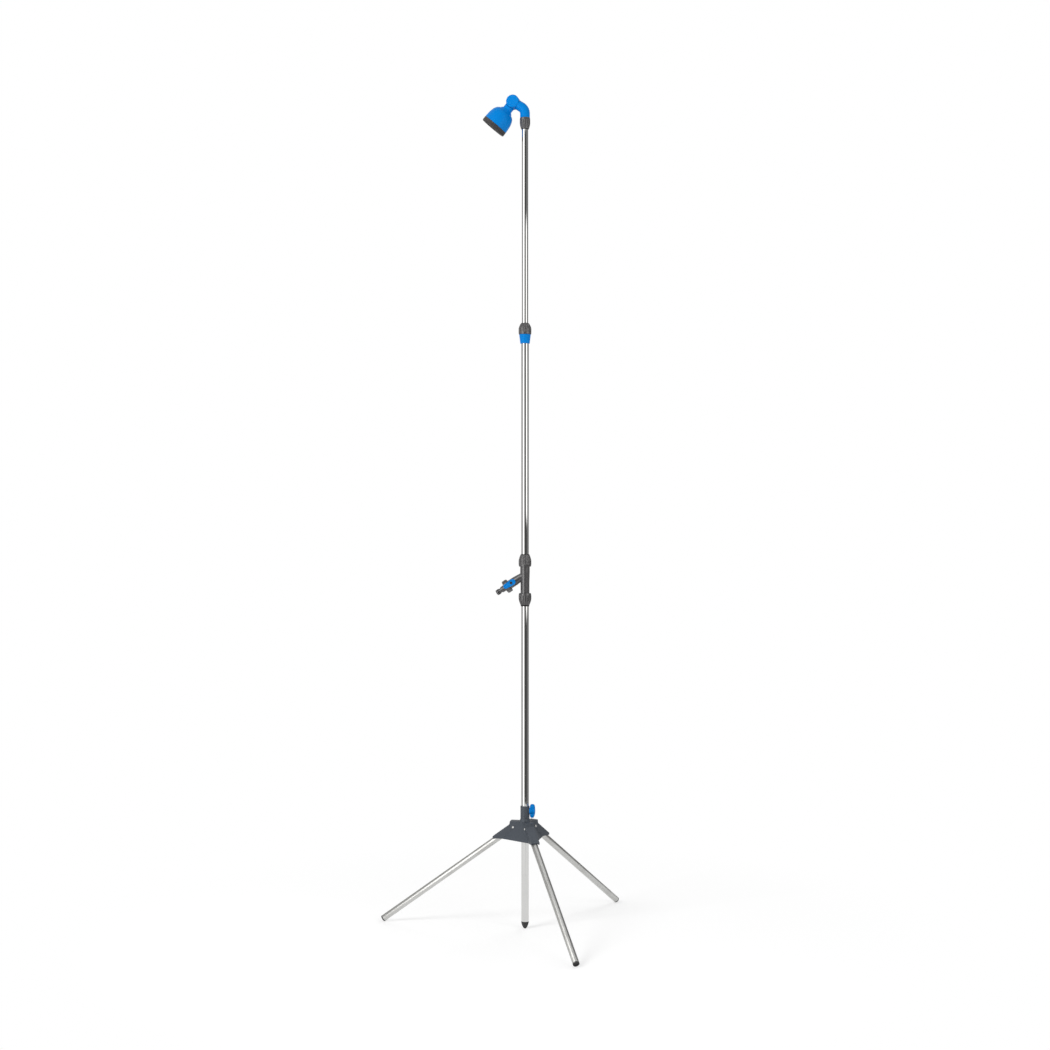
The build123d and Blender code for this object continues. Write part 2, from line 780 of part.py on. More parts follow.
def knuckle_disc(side):
    low, high = sorted((side * free_gap / 2, side * knuckle_half))
    disc = across(knuckle_r, low, high, knuckle_x, knuckle_z)
    outer = disc.edges().sort_by(Axis.Y)[0 if side < 0 else -1]
    return fillet(outer, knuckle_edge)


def elbow():
    flange = elbow_shoulder + free_gap
    low = elbow_shoulder - elbow_spigot
    floor = upper_top + free_gap
    body = elbow_pipe(elbow_r, flange, arm_length) - knuckle_space(1)
    body += knuckle_disc(-1)
    body += rod(elbow_thread_r, low, flange)
    body -= rod(upper_r + run_fit, low, floor)
    body -= elbow_pipe(elbow_bore_r, floor, arm_length - knuckle_r - port_wall)
    port = Pos(knuckle_x, -port_offset, knuckle_z) * Rot(0, 90 + elbow_rise, 0) * rod(port_r, 0, knuckle_r + port_wall)
    body -= port
    seat = sleeve_pin_r + snug_gap
    return body - across(seat, -knuckle_half + hub_wall, 0, knuckle_x, knuckle_z)


def knuckle_sleeve():
    low = -knuckle_half + hub_wall + seal_gap
    high = knuckle_half - seal_gap
    body = across(sleeve_pin_r, low, high)
    body -= across(sleeve_pin_bore_r, low, high - sleeve_pin_floor)
    body -= Pos(0, -port_offset, 0) * Rot(0, 90 + elbow_rise, 0) * rod(port_r, 0, knuckle_r)
    ways = rod(port_r - pin_ring_r, -knuckle_r, knuckle_r)
    body -= [Pos(0, port_offset, 0) * Rot(0, turn, 0) * ways for turn in (0, 90)]
    half = pin_ring_width / 2
    for middle in pin_ring_places():
        groove = across(sleeve_pin_r, middle - half, middle + half)
        body -= groove - across(sleeve_pin_r - 2 * pin_ring_r, middle - half, middle + half)
    body -= across(cap_screw_r + snug_gap, high - sleeve_pin_floor, high)
    return Pos(knuckle_x, 0, knuckle_z) * body


def pin_ring_places():
    # Either side of the water groove in the head's half of the knuckle
    reach = groove_width / 2 + pin_ring_width
    return (port_offset - reach, port_offset + reach)


def knuckle_o_rings():
    middle = sleeve_pin_r - pin_ring_r
    turn = Pos(knuckle_x, 0, knuckle_z) * Rot(-90, 0, 0)
    return [turn * ring_of(middle, pin_ring_r - seal_gap / 2, place) for place in pin_ring_places()]


def knuckle_cap():
    low = knuckle_half + free_gap
    disc = across(cap_r, low, low + cap_thickness)
    disc = fillet(disc.edges().sort_by(Axis.Y)[-1], cap_edge)
    disc -= across(cap_screw_r + snug_gap, low, low + cap_thickness)
    disc -= across(cap_screw_head_r + snug_gap, low + cap_thickness - cap_screw_head, low + cap_thickness)
    boss = tube(sleeve_pin_r - free_gap, cap_screw_r + snug_gap, knuckle_half - seal_gap, low)
    return Pos(knuckle_x, 0, knuckle_z) * (disc + Rot(-90, 0, 0) * boss)


def cap_screw():
    face = knuckle_half + free_gap + cap_thickness
    low = knuckle_half - sleeve_pin_floor
    screw = across(cap_screw_head_r, face - cap_screw_head, face) + across(cap_screw_r, low, face)
    return Pos(knuckle_x, 0, knuckle_z) * screw


def elbow_group():
    save(elbow(), "elbow")
    save(knuckle_sleeve(), "knuckle_sleeve")
    save(Compound(children=knuckle_o_rings()), "knuckle_o_rings")
    save(knuckle_cap(), "knuckle_cap")
    save(cap_screw(), "cap_screw")


# Shower head, built along its own +Z from the knuckle
hem_start = bell_hem[0]
hem_end = hem_start + hem_length
rim_start = hem_end + free_gap
rim_end = rim_start + rim_length
skirt_end = rim_end - rim_lip - plate_thickness - gasket_thickness - 3 * snug_gap


def bell_curve(inset):
    # The bell's flank from neck to hem, moved inwards by the wall
    points = [(neck_length, neck_r), bell_root, bell_shoulder, bell_middle, bell_hem]
    moved = []
    for i, (s, r) in enumerate(points):
        before = points[max(i - 1, 0)]
        after = points[min(i + 1, len(points) - 1)]
        run = after[0] - before[0]
        flare = after[1] - before[1]
        length = hypot(run, flare)
        moved.append((r - inset * run / length, 0, s + inset * flare / length))
    return Spline(*moved)


def bell():
    outside = bell_curve(0)
    inside = bell_curve(bell_wall)
    hem = Polyline(outside @ 1, (hem_r, 0, hem_end), (skirt_r, 0, hem_end), (skirt_r, 0, skirt_end))
    skirt_in = skirt_r - bell_wall
    back = Polyline((skirt_r, 0, skirt_end), (skirt_in, 0, skirt_end), (skirt_in, 0, hem_start), inside @ 1)
    throat = Polyline(inside @ 0, (elbow_bore_r, 0, neck_length), (elbow_bore_r, 0, 0), (neck_r, 0, 0), outside @ 0)
    return revolve(make_face(outside + hem + back + inside + throat), Axis.Z)


def arm_relief():
    # The room that the elbow's arm needs in the neck when the head is tilted back to its stop
    arm = elbow_pipe(elbow_r + free_gap, elbow_shoulder + free_gap, arm_length)
    side = elbow_r + 2 * free_gap
    arm -= across(knuckle_r + free_gap, -side, side, knuckle_x, knuckle_z)
    return Pos(knuckle_x, 0, knuckle_z) * Rot(0, head_tilt_back, 0) * Pos(-knuckle_x, 0, -knuckle_z) * arm


def head_shell():
    solid_root = rod(elbow_bore_r, 0, knuckle_r + port_wall)
    body = head * (bell() + solid_root) - knuckle_space(-1) - arm_relief()
    body += knuckle_disc(1)
    body -= across(sleeve_pin_r + run_fit, 0, knuckle_half, knuckle_x, knuckle_z)
    half = groove_width / 2
    body -= across(groove_r, port_offset - half, port_offset + half, knuckle_x, knuckle_z)
    port = Pos(port_offset, 0, 0) * rod(port_r - pin_ring_r, 0, knuckle_r + port_wall)
    return body - head * port


def head_rim():
    bore = skirt_r + free_gap
    lip_low = rim_end - rim_lip
    mouth = face_r + free_gap
    rim = turned(
        (bore, rim_start), (rim_r, rim_start), (rim_r, rim_end), (mouth, rim_end),
        (mouth, lip_low), (bore, lip_low),
    )
    outer = rim.edges().filter_by(GeomType.CIRCLE).group_by(Axis.Z)[-1].sort_by(SortBy.RADIUS)[-1]
    return fillet(outer, rim_edge)


def spray_plate():
    low = rim_end - rim_lip - plate_thickness - snug_gap
    seat = low + plate_thickness
    plate = rod(skirt_r, low, seat) + rod(face_r, seat, seat + face_height)
    hole = rod(nozzle_r, low, seat + face_height)
    holes = [hole]
    for ring in range(1, nozzle_rings + 1):
        count = nozzle_inner_count * ring
        holes += [Rot(0, 0, 360 / count * i) * Pos(nozzle_pitch * ring, 0, 0) * hole for i in range(count)]
    return plate - holes


def head_group():
    save(head_shell(), "head_shell")
    save(head * head_rim(), "head_rim")
    save(head * spray_plate(), "spray_plate")
    gasket_low = skirt_end + snug_gap
    save(head * tube(skirt_r, skirt_r - bell_wall, gasket_low, gasket_low + gasket_thickness), "head_gasket")


def pole_nuts():
    size = (pole_r, pole_thread_r, pole_spigot, pole_nut_length, pole_nut_open_r)
    ends = (pole_nut_belly_r, pole_nut_end_r, pole_grip_lip_r)
    compression_joint(Pos(0, 0, lower_shoulder) * Rot(180, 0, 0), "lower", *size, *ends)
    compression_joint(Pos(0, 0, upper_shoulder), "upper", *size, *ends)
    compression_joint(
        Pos(0, 0, clamp_shoulder), "clamp", upper_r, clamp_thread_r, clamp_spigot, clamp_nut_length,
        clamp_nut_open_r, clamp_nut_belly_r, clamp_nut_end_r, clamp_grip_lip_r,
    )
    compression_joint(
        Pos(0, 0, elbow_shoulder) * Rot(180, 0, 0), "elbow", upper_r, elbow_thread_r, elbow_spigot,
        elbow_nut_length, elbow_nut_r, elbow_nut_r, elbow_nut_end_r, elbow_grip_lip_r,
    )


os.makedirs("parts", exist_ok=True)
lower_pole()
hub_group()
legs()
inlet_group()
telescope_group()
elbow_group()
head_group()
pole_nuts()
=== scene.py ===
import json
import bpy
import numpy as np
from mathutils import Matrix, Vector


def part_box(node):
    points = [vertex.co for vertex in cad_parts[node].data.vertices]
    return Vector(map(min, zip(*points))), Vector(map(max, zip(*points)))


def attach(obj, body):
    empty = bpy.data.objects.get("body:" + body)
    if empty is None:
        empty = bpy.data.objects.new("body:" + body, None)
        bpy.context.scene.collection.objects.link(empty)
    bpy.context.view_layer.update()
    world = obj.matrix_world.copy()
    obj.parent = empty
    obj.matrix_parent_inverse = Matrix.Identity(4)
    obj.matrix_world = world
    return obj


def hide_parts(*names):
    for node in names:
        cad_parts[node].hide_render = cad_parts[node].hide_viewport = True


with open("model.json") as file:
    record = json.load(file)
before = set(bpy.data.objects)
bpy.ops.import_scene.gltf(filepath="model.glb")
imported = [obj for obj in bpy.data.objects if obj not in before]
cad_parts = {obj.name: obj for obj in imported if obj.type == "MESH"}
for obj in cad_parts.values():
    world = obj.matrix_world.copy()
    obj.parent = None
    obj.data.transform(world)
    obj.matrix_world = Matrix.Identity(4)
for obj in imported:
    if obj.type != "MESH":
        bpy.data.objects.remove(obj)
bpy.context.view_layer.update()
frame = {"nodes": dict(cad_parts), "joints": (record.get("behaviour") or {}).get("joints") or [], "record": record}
nodes = frame["nodes"]
joints = {joint["name"]: joint for joint in frame["joints"]}
mm = 0.001


# A shader socket that adds and multiplies like a number, so that masks read as sums and products
class Wire:
    def __init__(self, finish, socket):
        self.finish = finish
        self.socket = socket

    def maths(self, operation, *values):
        return self.finish.node("Math", {"operation": operation}, dict(enumerate(values)))

    def __add__(self, other):
        return self.maths("ADD", self, other)

    def __radd__(self, other):
        return self.maths("ADD", other, self)

    def __sub__(self, other):
        return self.maths("SUBTRACT", self, other)

    def __rsub__(self, other):
        return self.maths("SUBTRACT", other, self)

    def __mul__(self, other):
        return self.maths("MULTIPLY", self, other)

    def __rmul__(self, other):
        return self.maths("MULTIPLY", other, self)


# The nodes of a new material, which goes by its name, or those of the world
class Finish:
    def __init__(self, owner):
        self.owner = bpy.data.materials.new(owner) if isinstance(owner, str) else owner
        self.owner.use_nodes = True
        self.tree = self.owner.node_tree
        self.tree.nodes.clear()

    def node(self, kind, settings=None, sockets=None, out=0):
        # Any node, from its type, its settings and the values or links of its sockets
        made = self.tree.nodes.new("ShaderNode" + kind)
        for name, value in (settings or {}).items():
            setattr(made, name, value)
        for name, value in (sockets or {}).items():
            if isinstance(value, Wire):
                self.tree.links.new(value.socket, made.inputs[name])
            else:
                made.inputs[name].default_value = value
        return Wire(self, made.outputs[out]) if made.outputs else None

    def spot(self, turn=(0, 0, 0), stretch=(1, 1, 1)):
        # The point on the object, turned and stretched for the pattern that reads it
        place = self.node("TexCoord", out="Object")
        return self.node("Mapping", None, {"Vector": place, "Rotation": turn, "Scale": stretch})

    def split(self, vector):
        # The x, y and z of a vector
        parts = self.node("SeparateXYZ", None, {"Vector": vector})
        return [Wire(self, socket) for socket in parts.socket.node.outputs]

    def noise(self, place, scale, detail=3.0, roughness=0.55):
        sockets = {"Vector": place, "Scale": scale, "Detail": detail, "Roughness": roughness}
        return self.node("TexNoise", None, sockets)

    def span(self, value, low, high):
        # 0 below low, 1 above high, smooth between them
        sockets = {"Value": value, "From Min": low, "From Max": high}
        return self.node("MapRange", {"interpolation_type": "SMOOTHSTEP"}, sockets)

    def patches(self, place, low, high, **pattern):
        # The parts of a noise pattern that rise from low to high
        return self.span(self.noise(place, **pattern), low, high)

    def blendColour(self, mask, first, second):
        # The first colour where the mask is 0, the second where it is 1
        def full(colour):
            return colour if isinstance(colour, Wire) else (*colour, 1.0)

        return self.node("Mix", {"data_type": "RGBA"}, {0: mask, 6: full(first), 7: full(second)}, out=2)

    def rounded(self, radius, samples):
        # The normal as it would be with every corner rounded by the radius
        return self.node("Bevel", {"samples": samples}, {"Radius": radius})

    def edges(self, radius, samples=6, low=0.01, high=0.16):
        # 1 on corners and edges, 0 on open faces: how far the rounded normal leans off the real one
        real = self.node("NewGeometry", out="Normal")
        sides = {0: self.rounded(radius, samples), 1: real}
        lean = self.node("VectorMath", {"operation": "DOT_PRODUCT"}, sides, out="Value")
        return self.span(1 - lean, low, high)

    def bump(self, height, distance, normal=None):
        sockets = {"Height": height, "Distance": distance, "Strength": 1.0}
        if normal is not None:
            sockets["Normal"] = normal
        return self.node("Bump", None, sockets)

    def done(self, sockets, specular=0.5):
        fixed = {"IOR": 1.5, "Specular IOR Level": specular}
        shader = self.node("BsdfPrincipled", None, {**sockets, **fixed})
        self.node("OutputMaterial", None, {"Surface": shader})
        return self.owner


# Polished tube: a mirror skin with fine draw lines along the tube, water marks and dull finger smears
chromeLook = dict(
    tint=(0.63, 0.63, 0.62), smearTint=(0.58, 0.58, 0.57), rough=0.045, smearRough=0.075,
    lines=dict(scale=2600, detail=2.0), lineStretch=(1, 1, 0.012), lineRough=0.02, lineDepth=0.0000003,
    smears=dict(scale=26, detail=5.0, roughness=0.62, low=0.52, high=0.72), smearShare=0.7,
    drops=dict(scale=240, detail=2.0, low=0.66, high=0.74), dropStretch=(1, 1, 0.5), dropShare=0.3,
)


def chromeFinish(name):
    f = Finish(name)
    look = chromeLook
    drawn = f.noise(f.spot(stretch=look["lineStretch"]), **look["lines"])
    smears = f.patches(f.spot(), **look["smears"])
    drops = f.patches(f.spot(stretch=look["dropStretch"]), **look["drops"])
    mask = smears * look["smearShare"] + drops * look["dropShare"]
    duller = mask * (look["smearRough"] - look["rough"])
    return f.done({
        "Base Color": f.blendColour(mask, look["tint"], look["smearTint"]),
        "Metallic": 1.0,
        "Roughness": look["rough"] + duller + drawn * look["lineRough"],
        "Normal": f.bump(drawn, look["lineDepth"]),
    })


# Satin aluminium legs: brushed along the leg, with a few longer scratches
legLook = dict(
    tint=(0.56, 0.56, 0.545), worn=(0.47, 0.465, 0.45), rough=0.27,
    lines=dict(scale=1500, detail=4.0, roughness=0.7), lineStretch=(1, 1, 0.02), lineRough=0.12,
    scratches=dict(scale=420, detail=2.0, low=0.66, high=0.7), scratchStretch=(1, 1, 0.05),
    scratchShare=0.4, scratchDepth=0.6, lineDepth=0.000008,
    dull=dict(scale=18, detail=4.0, low=0.45, high=0.7), dullShare=0.6, dullRough=0.06,
)


def legFinish(name, turn):
    # The turn lays the pattern's z along the leg
    f = Finish(name)
    look = legLook
    brushed = f.noise(f.spot(turn, look["lineStretch"]), **look["lines"])
    scratches = f.patches(f.spot(turn, look["scratchStretch"]), **look["scratches"])
    dull = f.patches(f.spot(turn), **look["dull"])
    mask = dull * look["dullShare"] + scratches * look["scratchShare"]
    return f.done({
        "Base Color": f.blendColour(mask, look["tint"], look["worn"]),
        "Metallic": 1.0,
        "Roughness": look["rough"] + brushed * look["lineRough"] + dull * look["dullRough"],
        "Normal": f.bump(brushed + scratches * look["scratchDepth"], look["lineDepth"]),
    })


# Moulded plastics, each with its fine grain and the width of its rubbed edges in metres
plasticLooks = {
    "hub": dict(
        tint=(0.072, 0.083, 0.100), worn=(0.140, 0.155, 0.175),
        grain=0.000022, grainScale=1900, rough=0.40, edge=0.0007,
    ),
    "grey": dict(
        tint=(0.066, 0.064, 0.065), worn=(0.140, 0.130, 0.126),
        grain=0.000014, grainScale=2300, rough=0.22, edge=0.0005, gloss=0.9,
    ),
    "face": dict(
        tint=(0.030, 0.029, 0.031), worn=(0.070, 0.068, 0.068),
        grain=0.000012, grainScale=2600, rough=0.42, edge=0.0004,
    ),
    "rim": dict(
        tint=(0.040, 0.037, 0.038), worn=(0.105, 0.092, 0.086),
        grain=0.000014, grainScale=2300, rough=0.34, edge=0.0005,
    ),
    "blue": dict(
        tint=(0.000, 0.215, 0.655), worn=(0.000, 0.330, 0.820),
        grain=0.000006, grainScale=1500, rough=0.30, edge=0.0006, gloss=0.08,
    ),
    "black": dict(
        tint=(0.045, 0.045, 0.047), worn=(0.090, 0.090, 0.090),
        grain=0.000025, grainScale=1800, rough=0.50, edge=0.0005,
    ),
    "grip": dict(
        tint=(0.014, 0.014, 0.015), worn=(0.050, 0.050, 0.050),
        grain=0.000015, grainScale=2400, rough=0.48, edge=0.0003,
    ),
    "white": dict(
        tint=(0.780, 0.780, 0.750), worn=(0.700, 0.690, 0.650),
        grain=0.000005, grainScale=2200, rough=0.35, edge=0.0003,
    ),
}

# What they share: slow changes of shade, edges rubbed lighter and a little dust
mouldedSkin = dict(
    deep=0.88, shade=dict(scale=34, detail=3.0), grainDetail=2.0, grainCoarse=0.5, grainRough=0.08,
    rub=dict(scale=130, detail=3.0, low=0.32, high=0.62), rubShare=0.55, rubRough=0.06,
    dust=dict(scale=70, detail=5.0, roughness=0.7, low=0.55, high=0.8), dustShare=0.10, dustRough=0.10,
    cornerShare=0.6, cornerSamples=4,
)


def plasticFinish(name, tint, worn, grain, grainScale, rough, edge, gloss=0.35):
    f = Finish(name)
    skin = mouldedSkin
    place = f.spot()
    grains = f.noise(place, grainScale, skin["grainDetail"], skin["grainCoarse"])
    shade = f.noise(place, **skin["shade"])
    rub = f.edges(edge) * f.patches(place, **skin["rub"])
    dust = f.patches(place, **skin["dust"])
    mask = rub * skin["rubShare"] + dust * skin["dustShare"]
    deep = tuple(value * skin["deep"] for value in tint)
    duller = dust * skin["dustRough"] + grains * skin["grainRough"]
    corners = f.rounded(edge * skin["cornerShare"], skin["cornerSamples"])
    return f.done({
        "Base Color": f.blendColour(mask, f.blendColour(shade, deep, tint), worn),
        "Roughness": rough + duller - rub * skin["rubRough"],
        "Normal": f.bump(grains, grain, corners),
    }, gloss)


# Rubber rings and gaskets: dull, with a fine mould skin and a pale bloom
rubberLook = dict(
    tint=(0.012, 0.012, 0.012), bloomTint=(0.030, 0.030, 0.029), rough=0.62, bloomRough=0.15, gloss=0.35,
    skin=dict(scale=2600, detail=3.0), skinDepth=0.00002,
    bloom=dict(scale=160, detail=4.0, low=0.45, high=0.75),
)


def rubberFinish(name):
    f = Finish(name)
    look = rubberLook
    skin = f.noise(f.spot(), **look["skin"])
    bloom = f.patches(f.spot(), **look["bloom"])
    return f.done({
        "Base Color": f.blendColour(bloom, look["tint"], look["bloomTint"]),
        "Roughness": look["rough"] + bloom * look["bloomRough"],
        "Normal": f.bump(skin, look["skinDepth"]),
    }, look["gloss"])


# Bare metals: turned or drawn marks, tarnish in patches
metalLooks = {
    "steel": dict(tint=(0.66, 0.66, 0.65), worn=(0.45, 0.44, 0.42), rough=0.24, marks=0.000006),
    "ball": dict(tint=(0.76, 0.76, 0.76), worn=(0.66, 0.66, 0.65), rough=0.08, marks=0.000001),
    "brass": dict(tint=(0.72, 0.50, 0.20), worn=(0.45, 0.28, 0.10), rough=0.28, marks=0.000006),
    # painted shade: a near-black metal that stands in for the shadow in the lever's recess, not a real finish of
    # the screws
    "blackened": dict(tint=(0.035, 0.035, 0.040), worn=(0.075, 0.072, 0.070), rough=0.40, marks=0.000006),
}
metalSkin = dict(
    cuts=dict(scale=3200, detail=3.0), cutStretch=(1, 0.08, 1), cutRough=0.06,
    tarnish=dict(scale=210, detail=4.0, low=0.5, high=0.78), tarnishRough=0.15,
)


def metalFinish(name, tint, worn, rough, marks):
    f = Finish(name)
    skin = metalSkin
    cuts = f.noise(f.spot(stretch=skin["cutStretch"]), **skin["cuts"])
    tarnish = f.patches(f.spot(), **skin["tarnish"])
    return f.done({
        "Base Color": f.blendColour(tarnish, tint, worn),
        "Metallic": 1.0,
        "Roughness": rough + tarnish * skin["tarnishRough"] + cuts * skin["cutRough"],
        "Normal": f.bump(cuts, marks),
    })


finishes = {
    "pole_chrome": chromeFinish("poleChrome"),
    "rubber": rubberFinish("rubber"),
    "steel": metalFinish("steel", **metalLooks["steel"]),
    "ball_chrome": metalFinish("ballChrome", **metalLooks["ball"]),
    "brass": metalFinish("brass", **metalLooks["brass"]),
}
for plastic, look in plasticLooks.items():
    finishes[plastic + "_plastic"] = plasticFinish(plastic + "Plastic", **look)
# Painted shade: the lever screw and the valve stem get this near-black metal instead of steel, standing in for the
# shadow in the lever's recess
blackened = metalFinish("blackenedScrew", **metalLooks["blackened"])
screwsInPaintedShade = ("lever_screw", "valve_stem")
print("finishes made:", len(finishes))

# The solids that show as they are; the legs get theirs when they are drawn
slotOf = {part["node"]: part["material_slot"] for part in frame["record"]["subparts"]}
for node, solid in nodes.items():
    finish = blackened if node in screwsInPaintedShade else finishes.get(slotOf[node])
    if finish:
        solid.data.materials.clear()
        solid.data.materials.append(finish)


# Mesh building, in metres; every shape is a grid of points, rows along the profile and columns round it
def gridFaces(points, loop, first):
    # Quads between neighbouring rows and columns, with corners numbered from first. Columns close on
    # themselves. With loop the last row joins the first, and without it each end row is gathered into
    # one pole with a fan of triangles.
    rows, columns = points.shape[:2]
    if loop:
        low = np.arange(rows * columns).reshape(rows, columns)
        high = np.roll(low, -1, 0)
        verts = points.reshape(-1, 3)
        fans = np.zeros((0, 3), int)
    else:
        ring = 1 + np.arange((rows - 2) * columns).reshape(rows - 2, columns)
        low, high = ring[:-1], ring[1:]
        verts = np.concatenate([points[:1].mean(1), points[1:-1].reshape(-1, 3), points[-1:].mean(1)])
        start = np.stack([np.zeros(columns, int), np.roll(ring[0], -1), ring[0]], 1)
        end = np.stack([np.full(columns, 1 + ring.size), ring[-1], np.roll(ring[-1], -1)], 1)
        fans = np.concatenate([start, end])
    quads = np.stack([low, np.roll(low, -1, 1), np.roll(high, -1, 1), high], -1).reshape(-1, 4)
    corners = verts[quads] - verts.mean(0)
    halves = np.cross(corners[:, 1], corners[:, 2]) + np.cross(corners[:, 2], corners[:, 3])
    if np.einsum("ij,ij->", corners[:, 0], halves) < 0:  # the space they hold is negative: inside out
        quads, fans = quads[:, ::-1], fans[:, ::-1]
    return verts, (quads + first).tolist() + (fans + first).tolist()


def newObject(name, data):
    # An object of the scene, at the origin
    made = bpy.data.objects.new(name, data)
    bpy.context.scene.collection.objects.link(made)
    return made


def gridPiece(name, grids, body, slot, instead=(), loop=True, sharp=40, finish=None):
    # One piece from one or more grids of points; edges that turn by more than sharp stay crisp
    allVerts = []
    allFaces = []
    count = 0
    for points in grids:
        verts, faces = gridFaces(points, loop, count)
        allVerts.append(verts)
        allFaces += faces
        count += len(verts)
    mesh = bpy.data.meshes.new(name)
    mesh.from_pydata(np.concatenate(allVerts), [], allFaces)
    mesh.shade_smooth()
    mesh.set_sharp_from_angle(angle=np.radians(sharp))
    mesh.materials.append(finish or finishes[slot])
    piece = newObject(name, mesh)
    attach(piece, body)
    if instead:
        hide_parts(*instead)


def placing(origin, along):
    # A piece's origin, and the directions of its own x, y and z in the rows of a frame: z runs along, and
    # x is as near to the world's y as that leaves
    along = np.array(along, float) / np.linalg.norm(along)
    side = np.array((0.0, 1.0, 0.0))
    side = side - along * np.dot(side, along)
    side /= np.linalg.norm(side)
    return np.array(origin, float), np.stack([side, np.cross(along, side), along])


def put(points, place):
    # Origin + x along the first row + y along the second + z along the third
    return place[0] + points @ place[1]


def eased(corners, radius, steps=4, closed=True):
    # A corner outline with each corner rounded: (1-u)^2 a + 2u(1-u) p + u^2 b, where p is the corner and
    # a and b lie on its two sides, the radius away or at most 0.45 of the side
    corners = np.array(corners, float)

    def reach(way):
        length = np.linalg.norm(way, axis=1, keepdims=True)
        return way / length * np.minimum(radius, 0.45 * length)

    before = reach(np.roll(corners, 1, 0) - corners)
    after = reach(np.roll(corners, -1, 0) - corners)
    u = np.linspace(0, 1, steps)[:, None, None]
    rounded = (corners + (1 - u) ** 2 * before + u ** 2 * after).transpose(1, 0, 2)
    if closed:
        return rounded.reshape(-1, 2)
    return np.concatenate([corners[:1], rounded[1:-1].reshape(-1, 2), corners[-1:]])


def turned(profile, place, columns, cut=None):
    # x = r cos t, y = r sin t, z = h, for each (r, h) of the profile, less what cut(r, h, t) takes off r
    t = np.linspace(0, 2 * np.pi, columns, endpoint=False)
    r, h = profile[:, :1], profile[:, 1:]
    if cut:
        r = r - cut(r, h, t)
    return put(np.stack([r * np.cos(t), r * np.sin(t), h + 0 * t], -1) * mm, place)


def smooth(value, low, high):
    # 0 below low, 1 above high, 3x^2 - 2x^3 between them
    x = np.clip((value - low) / (high - low), 0, 1)
    return x * x * (3 - 2 * x)


def wave(t, count, width):
    # Half-round hollows, count of them round the axis: the root of 1 - (a / half width)^2, where a is the
    # distance from the hollow's middle as a share of the pitch
    a = (t * count / (2 * np.pi) + 0.5) % 1 - 0.5
    return np.sqrt(np.clip(1 - (2 * a / width) ** 2, 0, 1))


def signedPower(value, power):
    # |value|^power with the value's own sign
    return np.sign(value) * np.abs(value) ** power


def fine(profile, step):
    # The same outline with points no further apart than the step, so that what is cut follows it
    ends = np.roll(profile, -1, 0)
    counts = np.maximum(np.ceil(np.linalg.norm(ends - profile, axis=1) / step).astype(int), 1)
    starts = np.repeat(profile, counts, 0)
    share = np.concatenate([np.arange(count) / count for count in counts])[:, None]
    return starts + (np.repeat(ends, counts, 0) - starts) * share


def axisOf(node):
    # Start and direction of a straight tube, from the longest spread of its corners, then its length and
    # radius in millimetres
    verts = np.array([v.co for v in nodes[node].data.vertices])
    middle = verts.mean(0)
    along = np.linalg.svd(verts - middle, full_matrices=False)[2][0]
    reach = (verts - middle) @ along
    off = np.linalg.norm((verts - middle) - reach[:, None] * along, axis=1)
    return middle + along * reach.min(), along, np.ptp(reach) / mm, off.max() / mm


# Tubes: a thin wall with both ends rolled smooth. From here on, a piece's sizes are in millimetres.
tubeLook = dict(roll=0.25, columns=128, sharp=35)
tubeSizes = {
    "lower_tube": dict(body="lower_pole", wall=0.8),
    "mid_tube": dict(body="inlet", wall=0.8),
    "upper_tube": dict(body="upper_pole", wall=0.6),
    "left_leg_tube": dict(body="left_leg", wall=1.0),
    "right_leg_tube": dict(body="right_leg", wall=1.0),
    "front_leg_tube": dict(body="front_leg", wall=1.0),
}
for node, size in tubeSizes.items():
    start, along, length, radius = axisOf(node)
    inner = radius - size["wall"]
    profile = eased([(inner, 0), (radius, 0), (radius, length), (inner, length)], tubeLook["roll"])
    grid = turned(profile, placing(start, along), tubeLook["columns"])
    finish = None
    if "leg" in node:
        turn = (0, -np.arccos(along[2]), -np.arctan2(along[1], along[0]))
        finish = legFinish(node.replace("_", "") + "Satin", turn)
    gridPiece(
        node + "_drawn", [grid], size["body"], slotOf[node], [node], sharp=tubeLook["sharp"], finish=finish,
    )
print("tubes drawn")


# Compression nuts: a smooth band at the open end, a fluted belly and a scalloped taper
nutLook = dict(
    bandRise=5.0, fluteRise=3.0, belly=14.0, fall=1.5, taperRows=9, coneLength=6.0, round=0.8, step=0.9,
    flutes=16, hollow=1.3, width=0.74, fluteColumns=16, fluteSkin=0.9,
)
nutSizes = {
    "lower_nut": dict(
        body="lower_nut", openUp=True, openR=15.0, bellyR=16.1, endR=10.9, bore=12.5, mouth=10.7, cone=19.3,
    ),
    "upper_nut": dict(
        body="upper_nut", openUp=False, openR=15.0, bellyR=16.1, endR=11.3, bore=12.5, mouth=10.7, cone=19.3,
    ),
    "clamp_nut": dict(
        body="clamp_nut", openUp=False, openR=15.7, bellyR=16.2, endR=11.0, bore=12.5, mouth=9.9, cone=17.3,
    ),
    "elbow_nut": dict(
        body="elbow_nut", openUp=True, openR=13.0, bellyR=13.2, endR=9.9, bore=10.9, mouth=9.2, cone=17.3,
    ),
}


